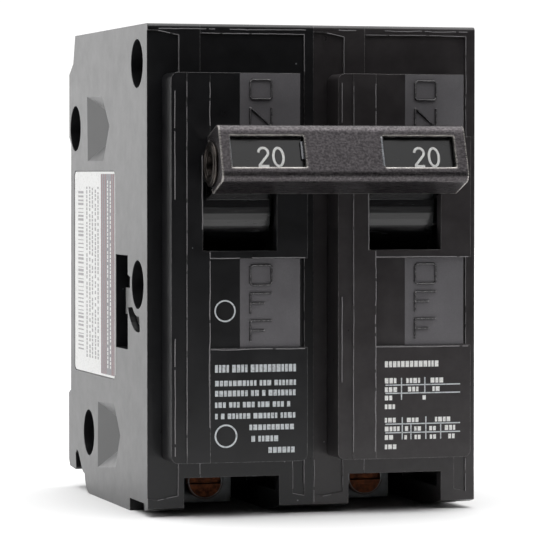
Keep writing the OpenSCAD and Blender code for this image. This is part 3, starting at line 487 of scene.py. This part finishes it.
def arc_path(centre, radius, start, end, steps=16):
    """Points at centre + radius * (cos t, sin t) for t from start to end in degrees; radius may be a pair."""
    turn = np.radians(np.linspace(start, end, steps + 1))
    return np.array(centre) + np.array(radius) * np.stack([np.cos(turn), np.sin(turn)], 1)


# %% [markdown]
# Beside each handle a matt panel tells its position: ON above the tie bar, OFF below. The panel is a thin
# step in the mould, and the letters are round-topped ridges one under another.

# %% Position panels with raised letters
panel_x = (12.6, 21.75)
letter_x = (14.15, 17.4)
letter_width = 0.34
letter_height = 0.3
on_panel_z = (56.05, 65.15)
off_panel_z = (25.05, 38.05)


def letter_o(low, high):
    left, right = letter_x
    cut = 0.3
    return [[left, low + cut], [left, high - cut], [left + cut, high], [right - cut, high],
            [right, high - cut], [right, low + cut], [right - cut, low], [left + cut, low],
            [left, low + cut]]


def letter_n(low, high):
    left, right = letter_x
    return [[[left, low], [left, high]], [[left, high], [right, low]], [[right, low], [right, high]]]


def letter_f(low, high):
    left, right = letter_x
    middle = low + 0.52 * (high - low)
    bar_end = left + 2.1
    return [[[left, low], [left, high]], [[left, high], [right, high]], [[left, middle], [bar_end, middle]]]


# The letters' lighter black and their pale edge tone at full share are painted highlight on their strokes.
letter_painted_highlight = moulded_phenolic("phenolic_letter_painted_highlight", "#222124", "#2b2a2c", "#c0bdbe", 0.22, 1.0)
for side, slot in (("left", "case_black"), ("right", "case_charcoal")):
    zone = front_face(zone_y, side)
    plates(side + "_on_panel", [(*panel_x, *on_panel_z)], zone, 0.06, matt_panel, "case")
    plates(side + "_off_panel", [(*panel_x, *off_panel_z)], zone, 0.06, matt_panel, "case")
    panel = front_face(zone_y - 0.06, side)
    words = [letter_o(61.4, 64.2), *letter_n(57.3, 60.15)]
    words += [letter_o(34.2, 37.1), *letter_f(30.0, 33.0), *letter_f(26.0, 29.0)]
    strokes(side + "_raised_letters", words, panel, letter_width, letter_height, letter_painted_highlight, "case",
            ROUND)
print("panels and letters on both poles")

# %% [markdown]
# The rating is painted on the front of each grip, behind the window of the tie bar. The digits are drawn as
# one even stroke: an arc, a diagonal and a foot for the two, a closed oval for the zero.

# %% Ratings on the grips
grip_reach = 20.5
tilt = math.radians(19.5)
outward = np.array([0, -math.cos(tilt), math.sin(tilt)])
digit_low = -1.68
digit_high = 1.1
digit_stroke = 0.36


def digit_two(left, right):
    middle, radius = (left + right) / 2, (right - left) / 2
    top = arc_path((middle, digit_high - radius), radius, 178, -38)
    return np.vstack([top, [[left + 0.06, digit_low + 0.16], [left + 0.06, digit_low]], [[right, digit_low]]])


def digit_zero(left, right):
    centre = ((left + right) / 2, (digit_low + digit_high) / 2)
    return arc_path(centre, ((right - left) / 2, (digit_high - digit_low) / 2), 90, 450, 28)


along_grip = (0, math.sin(tilt), math.cos(tilt))
grip_face = face((0, *(pivot + grip_reach * outward)[1:]), (1, 0, 0), along_grip)
RATING_X = {"left": (-12.5, -11.05, -10.3, -8.8), "right": (11.1, 12.55, 13.3, 14.8)}
for side, (a, b, c, d) in RATING_X.items():
    digits = [digit_two(a, b), digit_zero(c, d)]
    strokes(side + "_rating_digits", digits, grip_face, digit_stroke, 0.05, white_ink, "handles")
# The punch rolled the windows' left edges over, and they are rubbed bright
tie_reach = grip_reach + 1.0
tie_face = face((0, *(pivot + tie_reach * outward)[1:]), (1, 0, 0), along_grip)
RIMS = {"left": (tie_low[0] + 1.5, 0.12), "right": (tie_high[0] - 12.85, 0.4)}
for side, (x, width) in RIMS.items():
    rim_line = [[(x, -1.95), (x, 2.45)]]
    strokes(side + "_window_rim", rim_line, tie_face, width, 0.06, spring_steel, "handles",
            ROUND)
# A bright tongue of the tie bar's steel stands at the right end of the left window
tongue = (tie_low[0] + 12.2, tie_low[0] + 12.6, -0.7, 2.0)
plates("tie_bar_tongue", [tongue], grip_face, 0.35, spring_steel, "handles")

# %% [markdown]
# The lower nose of the left pole carries its approvals and catalogue lines, and the right one a wiring table.
# None of that wording is reproduced. Rows of small bars stand for the lines of print, a plain ring for the
# mark, and the table keeps only its rules and its cells.

# %% Printed lines on the noses
INK = 0.02
BAR_GAP = 0.16
draw = np.random.default_rng(20)


def print_row(left, right, low, high, word_share=0.8):
    """Bars of random width from left to right with narrow gaps, and wider ones between words."""
    row, x = [], left
    while x < right - 0.3:
        wide = min(draw.uniform(0.34, 0.62), right - x)
        row.append((x, x + wide, low, high))
        x += wide + (BAR_GAP if draw.random() < word_share else 0.5)
    return row


LEFT_ROWS = [(8.7, 21.0, 21.5, 22.6), (8.7, 21.0, 19.5, 20.3), (8.7, 21.0, 18.0, 18.85),
             (8.7, 20.6, 16.35, 17.15), (8.7, 20.9, 14.7, 15.5), (13.9, 20.8, 13.0, 13.8),
             (14.2, 18.7, 11.3, 12.15), (16.8, 20.8, 9.6, 10.45)]
RING_LABEL = ((10.35, 12.2), 1.6)
RING_OFF = ((10.35, 30.45), 1.5)
left_nose = front_face(nose_y, "left")
rows = [bar for row in LEFT_ROWS for bar in print_row(*row)]
plates("left_printed_lines", rows, left_nose, INK, pale_ink, "case")
strokes("left_printed_ring", [arc_path(*RING_LABEL, 0, 360, 40)], left_nose, 0.24, INK, pale_ink, "case")
zone_ring = [arc_path(*RING_OFF, 0, 360, 40)]
strokes("left_zone_ring", zone_ring, front_face(zone_y, "left"), 0.22, INK, pale_ink, "case")

table_x = (9.45, 21.15)
CELLS = [(9.35, 11.35, 19.45, 20.25), (12.7, 14.85, 19.45, 20.2), (16.5, 18.7, 19.45, 20.2),
         (9.35, 11.55, 18.15, 18.9), (12.95, 14.65, 18.2, 18.9), (16.8, 18.55, 18.2, 18.9),
         (9.35, 10.8, 16.95, 17.65), (15.25, 16.15, 16.95, 17.6), (9.35, 11.25, 15.65, 16.35),
         (9.35, 11.4, 13.65, 14.35), (12.8, 15.0, 13.65, 14.3), (17.2, 19.95, 13.65, 14.35),
         (9.35, 11.65, 12.35, 13.05), (12.5, 13.05, 12.35, 13.05), (13.95, 15.15, 12.35, 13.0),
         (16.3, 17.55, 12.35, 13.0), (18.75, 20.8, 12.35, 13.1), (9.35, 10.95, 11.1, 11.8),
         (12.4, 13.1, 11.1, 11.75), (14.0, 15.05, 11.1, 11.75), (16.4, 17.35, 11.1, 11.75),
         (19.3, 20.3, 11.1, 11.8), (9.35, 11.25, 9.7, 10.4)]
RULES = [[(table_x[0], 19.2), (table_x[1], 19.2)], [(table_x[0], 17.98), (table_x[1], 17.98)],
         [(table_x[0], 13.42), (table_x[1], 13.42)], [(table_x[0], 12.13), (table_x[1], 12.13)],
         [(11.95, 17.0), (11.95, 20.25)], [(15.6, 18.0), (15.6, 20.3)], [(12.07, 11.1), (12.07, 14.4)],
         [(13.43, 11.1), (13.43, 13.4)], [(15.77, 11.1), (15.77, 14.45)], [(18.1, 11.1), (18.1, 13.4)]]
right_nose = front_face(nose_y, "right")
cells = [bar for cell in [(9.35, 18.1, 21.85, 22.75), *CELLS] for bar in print_row(*cell, 0.95)]
plates("right_printed_cells", cells, right_nose, INK, white_ink, "case")
strokes("right_printed_rules", RULES, right_nose, 0.17, INK, pale_ink, "case")
print(f"{len(rows)} bars on the left nose and {len(cells)} in the right table")

# %% [markdown]
# The side label has a grey band near the front edge and plain paper behind it. Thin red lines run along the
# band, with a pale one at its back, and its small print is rows of bars again.

# %% Print on the side label
label_face = face((label_low[0], 0, 0), (0, -1, 0), (0, 0, 1))
inset = 0.35
band_front = -label_low[1] - inset
band_back = band_front - 9.3
low_z, high_z = label_low[2] + inset, label_high[2] - inset
plates("label_band_grey", [(band_back, band_front, low_z, high_z)], label_face, INK, band_ink, "case")
RED_LINES = [(0.35, 0.55), (1.5, 1.75), (5.6, 5.8), (6.9, 7.1), (8.3, 8.5)]
red_lines = [(band_front - b, band_front - a, low_z, high_z) for a, b in RED_LINES]
plates("label_band_red", red_lines, label_face, INK + 0.01, red_ink, "case")
pale_line = [(band_back, band_back + 0.35, low_z, high_z)]
plates("label_band_edge", pale_line, label_face, INK + 0.01, white_ink, "case")
band_lines = [(low_z + 1, high_z - 1, band_front - u - 0.5, band_front - u) for u in (2.4, 4.2)]
band_rows = [bar for line in band_lines for bar in print_row(*line)]
band_bars = [(u0, u1, z0, z1) for z0, z1, u0, u1 in band_rows]
plates("label_band_print", band_bars, label_face, INK + 0.01, white_ink, "case")
# A bar code stands at the back of the label, and short lines of small print between it and the band
code_back = band_back - 15.2
code_front = code_back + 3.6
code_z = np.arange(low_z + 3, high_z - 3, 0.62)
code = [(code_back, code_front, z, z + draw.uniform(0.12, 0.4)) for z in code_z]
plates("label_bar_code", code, label_face, INK, faint_ink, "case")
COLUMN_BACKS = [code_back + u for u in (5.6, 7.6, 9.4, 11.4, 13.2)]
columns = [bar for u in COLUMN_BACKS for bar in print_row(low_z + 2, high_z - 2, u, u + 0.75)]
small_print = [(u0, u1, z0, z1) for z0, z1, u0, u1 in columns]
plates("label_small_print", small_print, label_face, INK, faint_ink, "case")
print(f"side label: {len(band_bars)} bars on the band, {len(code)} code bars, {len(small_print)} print bars")

# %% [markdown]
# Where the two mould halves met, a thin fin of resin is left. It runs down the parting plane of each pole and
# along the step at the pole's front edge, never quite straight, and chipped away here and there. These pale
# strokes, and those along the ridge, the window and nose edges, the zone steps, the sheet edges and the top,
# are partly flash and chips and partly painted highlight on the edges.

# %% Flash and painted edge highlight on the parting lines and edges


def flash_and_highlight_paths(x, low, high, wander=0.05, keep=0.85):
    """A line from low to high in short lengths at x + wander * 2 * (seven-point mean of normal draws), with
    some lengths chipped off."""
    z = np.arange(low, high, 0.45)
    raw = draw.normal(size=len(z) + 6)
    smooth = np.convolve(raw, np.ones(7) / 7, "valid")
    line = np.stack([x + wander * smooth * 2, z], 1)
    cuts = [0, *np.flatnonzero(draw.random(len(z)) < 0.07), len(z)]
    runs = [line[a:b] for a, b in zip(cuts[:-1], cuts[1:])]
    return [run for run in runs if len(run) > 2 and draw.random() < keep]


def flash_and_highlight_along(corners):
    """Flash and painted edge highlight along straight legs: run point (a, t) of a leg from p goes to
    p + t * along + a * across.
    """
    runs = []
    for start, end in zip(np.array(corners[:-1], float), np.array(corners[1:], float)):
        span = np.linalg.norm(end - start)
        along = (end - start) / span
        across = np.array([-along[1], along[0]])
        for run in flash_and_highlight_paths(0, 0, span, 0.03, 0.9):
            runs.append(start + run[:, 1:] * along + run[:, :1] * across)
    return runs


SHEET_EDGES = [
    [(22.2, 8.2), (22.2, 3.0), (24.0, 2.6), (24.0, case_top - 1.4), (8.2, case_top - 1.35)],
    [(1.5, 2.5), (4.6, 3.1), (4.65, 8.2)],
    [(4.75, 65.4), (4.75, case_top - 1.65), (1.5, case_top - 1.0)],
    [(0.15, 1.6), (0.15, 8.0)],
]
window_x = 6.9
window_z = (39.2, 53.4)
nose_z = (9.4, 64.1)
# These strokes are partly mould flash and chips, partly painted highlight along the edges and steps.
for side, slot in (("left", "case_black"), ("right", "case_charcoal")):
    nose = front_face(nose_y, side)
    step_face = front_face(front_y, side)
    parting = flash_and_highlight_paths(part_x - 0.05, nose_z[0], window_z[0])
    parting += flash_and_highlight_paths(part_x - 0.05, window_z[1], nose_z[1])
    strokes(side + "_parting_flash_and_highlight", parting, nose, 0.14, 0.05, flash_and_edge_highlight, "case", ROUND)
    ridge = flash_and_highlight_paths(4.5, nose_z[0], nose_z[1], 0.02, 0.95)
    strokes(side + "_ridge_flash_and_highlight", ridge, nose, 0.1, 0.04, flash_and_edge_highlight, "case", ROUND)
    step = flash_and_highlight_paths(part_x, 65.4, case_top - 0.8) + flash_and_highlight_paths(part_x, 6.2, 8.2, keep=1.0)
    strokes(side + "_step_flash_and_highlight", step, step_face, 0.12, 0.05, flash_and_edge_highlight, "case", ROUND)
    edge_chips_and_highlight = flash_and_highlight_paths(window_x - 0.1, *window_z, 0.03, 0.6) + flash_and_highlight_paths(2.7, *nose_z, 0.02, 0.5)
    strokes(side + "_chips_and_edge_highlight", edge_chips_and_highlight, nose, 0.13, 0.05, flash_and_edge_highlight, "case", ROUND)
    steps = [np.flip(run, 1) for z in (38.2, 24.85) for run in flash_and_highlight_paths(z, part_x, 22.6, 0.03, 0.8)]
    strokes(side + "_zone_flash_and_highlight", steps, nose, 0.13, 0.05, flash_and_edge_highlight, "case", ROUND)
    edges = [run for corners in SHEET_EDGES for run in flash_and_highlight_along(corners)]
    strokes(side + "_sheet_edges", edges, step_face, 0.11, 0.05, flash_and_edge_highlight, "case", ROUND)
    rim = [np.flip(run, 1) for run in flash_and_highlight_paths(case_top - 0.75, 0.8, pitch - 0.8, 0.05, 0.8)]
    strokes(side + "_top_flash_and_highlight", rim, step_face, 0.14, 0.05, flash_and_edge_highlight, "case", ROUND)
print("flash on the parting lines and edges of both poles")

# %% [markdown]
# Round rims finish the metal parts: the tubular pin is rolled over at both ends, and the terminal screws have
# a bright turned rim. Both are tori, worked out from their two angles.

# %% Rolled and turned rims


def torus(name, centre, axis, ring, tube, finish, body, slot):
    """Points at centre + (ring + tube cos b)(cos a u + sin a v) + tube sin b * axis, for angles a and b."""
    axis = Vector(axis).normalized()
    u = np.array(axis.orthogonal().normalized())
    v = np.cross(np.array(axis), u)
    turns, sides = 48, 10
    around = np.arange(turns) * 2 * math.pi / turns
    about_tube = np.arange(sides) * 2 * math.pi / sides
    a, b = np.meshgrid(around, about_tube, indexing="ij")
    reach = (ring + tube * np.cos(b))[..., None]
    points = np.array(centre) + reach * (np.cos(a)[..., None] * u + np.sin(a)[..., None] * v)
    points = points + tube * np.sin(b)[..., None] * np.array(axis)
    i, k = np.meshgrid(np.arange(turns), np.arange(sides), indexing="ij")
    n, m = (i + 1) % turns, (k + 1) % sides
    faces = np.stack([i * sides + k, n * sides + k, n * sides + m, i * sides + m], -1).reshape(-1, 4)
    made = piece_from(name, points.reshape(-1, 3), faces, finish, body)
    made.data.shade_smooth()
    return made


pin_low, pin_high = box_mm("tie_pin")
pin_reach = 16.6
pin_centre = pivot + pin_reach * outward
PIN_ROLL = (2.75, 0.28)
PIN_LIP = (2.0, 0.16)
SCREW_RIM = (2.62, 0.17)
for side, x in (("left", pin_low[0] + 0.1), ("right", pin_high[0] - 0.1)):
    torus(side + "_pin_roll", (x, *pin_centre[1:]), (1, 0, 0), *PIN_ROLL, pin_steel, "handles", "pin_steel")
    torus(side + "_pin_lip", (x, *pin_centre[1:]), (1, 0, 0), *PIN_LIP, pin_steel, "handles", "pin_steel")
    low, high = box_mm(side + "_lug_screw")
    middle = (low + high) / 2
    torus(side + "_screw_rim", (middle[0], low[1] + 0.14, middle[2]), (0, 1, 0), *SCREW_RIM,
          tinned_aluminium_painted_shade, side + "_terminal_screw", "screw_brass")
print("rims rolled on the pin and turned on the terminal screws")

# %% [markdown]
# The light is a white studio: a bright backdrop at eye level behind the breaker, a dimmer band over it, a
# bright ceiling, and darkness where the camera stands. Black plastic is seen by what it mirrors, so its front
# stays black while its side, seen at a flat angle, mirrors the backdrop and turns pale grey, and the facets
# of its pockets mirror the dimmer band. Black cloth lies on the floor in front for the same reason. The
# camera is shown neither: for its own rays the world and the floor are plain white, by the Light Path node.

# %% Studio
BACKDROP = 1.65
CEILING = 2.6
PLAIN = 1.1
DARK_SIDE = 0.05
world = bpy.data.worlds.new("white_studio")
bpy.context.scene.world = world
world.use_nodes = True
sky = world.node_tree
sky.nodes.clear()
ray = add(sky, "SeparateXYZ", {0: add(sky, "TexCoord").outputs["Generated"]})
behind = {"From Min": -0.45, "From Max": 0.1, "To Min": DARK_SIDE, "To Max": BACKDROP}
depth = add(sky, "MapRange", {"Value": ray.outputs[1], **behind})
above = add(sky, "Math", {0: ray.outputs[2]}, operation="ABSOLUTE")
dimming = {"From Min": 0.16, "From Max": 0.36, "To Min": 1.0, "To Max": 0.1}
band = add(sky, "MapRange", {"Value": above.outputs[0], **dimming})
level = add(sky, "Math", {0: depth.outputs[0], 1: band.outputs[0]}, operation="MULTIPLY")
ceiling = {"From Min": 0.58, "From Max": 0.8, "To Min": 0.0, "To Max": CEILING}
overhead = add(sky, "MapRange", {"Value": ray.outputs[2], **ceiling})
strength = add(sky, "Math", {0: level.outputs[0], 1: overhead.outputs[0]}, operation="MAXIMUM")
seen = add(sky, "LightPath").outputs["Is Camera Ray"]
shown = add(sky, "MapRange", {"Value": seen, "To Min": strength.outputs[0], "To Max": PLAIN})
glow = add(sky, "Background", {"Color": (1.0, 1.0, 1.0, 1.0), "Strength": shown.outputs[0]})
add(sky, "OutputWorld", {"Surface": glow.outputs[0]})

floor_data = bpy.data.meshes.new("studio_floor")
reach = 1.6
floor_corners = [(-reach, -reach, 0), (reach, -reach, 0), (reach, reach, 0), (-reach, reach, 0)]
floor_data.from_pydata(floor_corners, [], [(0, 1, 2, 3)])
paper_floor, tree, shader, place = blank("white_paper_floor", Roughness=0.9)
tooth = add(tree, "TexNoise", {"Vector": place, "Scale": 1 / (40 * MM)})
tint = add(tree, "Mix", {0: tooth.outputs[0], 6: colour("#f9f9f9"), 7: colour("#fdfdfd")}, data_type="RGBA")
across = add(tree, "SeparateXYZ", {0: place})
cloth_edge = {"From Min": -0.2, "From Max": -0.09, "To Min": 1.0, "To Max": 0.0}
cloth = add(tree, "MapRange", {"Value": across.outputs[1], **cloth_edge})
seen = add(tree, "LightPath").outputs["Is Camera Ray"]
laid = add(tree, "MapRange", {"Value": seen, "To Min": cloth.outputs[0], "To Max": 0.0})
black_cloth = colour("#1c1c1c")
floor_tone = add(tree, "Mix", {0: laid.outputs[0], 6: tint.outputs[2], 7: black_cloth}, data_type="RGBA")
tree.links.new(floor_tone.outputs[2], shader.inputs["Base Color"])
floor_data.materials.append(paper_floor)
floor = bpy.data.objects.new("studio_floor", floor_data)
bpy.context.scene.collection.objects.link(floor)

key_data = bpy.data.lights.new("soft_key", "AREA")
key_data.energy = 0.6
key_data.size = 0.5
key = bpy.data.objects.new("soft_key", key_data)
bpy.context.scene.collection.objects.link(key)
key.location = (0.25, -0.35, 0.6)
key.rotation_euler = (Vector((0, 0, 0.04)) - key.location).to_track_quat("-Z", "Y").to_euler()

# %% [markdown]
# The camera stands at the breaker's left front, a little below its top, with a long lens that keeps the
# upright edges parallel.

# %% Camera
view_data = bpy.data.cameras.new("view")
view_data.lens = 212.8
view_data.clip_start = 0.01
view = bpy.data.objects.new("view", view_data)
bpy.context.scene.collection.objects.link(view)
forward = Vector((0.28088, 0.95924, -0.03103)).normalized()
rightward = forward.cross(Vector((0, 0, 1))).normalized()
upward = rightward.cross(forward)
turn = Matrix((rightward, upward, -forward)).transposed().to_4x4()
view.matrix_world = Matrix.Translation((-0.14228, -0.48765, 0.05043)) @ turn
bpy.context.scene.camera = view
bpy.context.scene.view_settings.view_transform = "Standard"
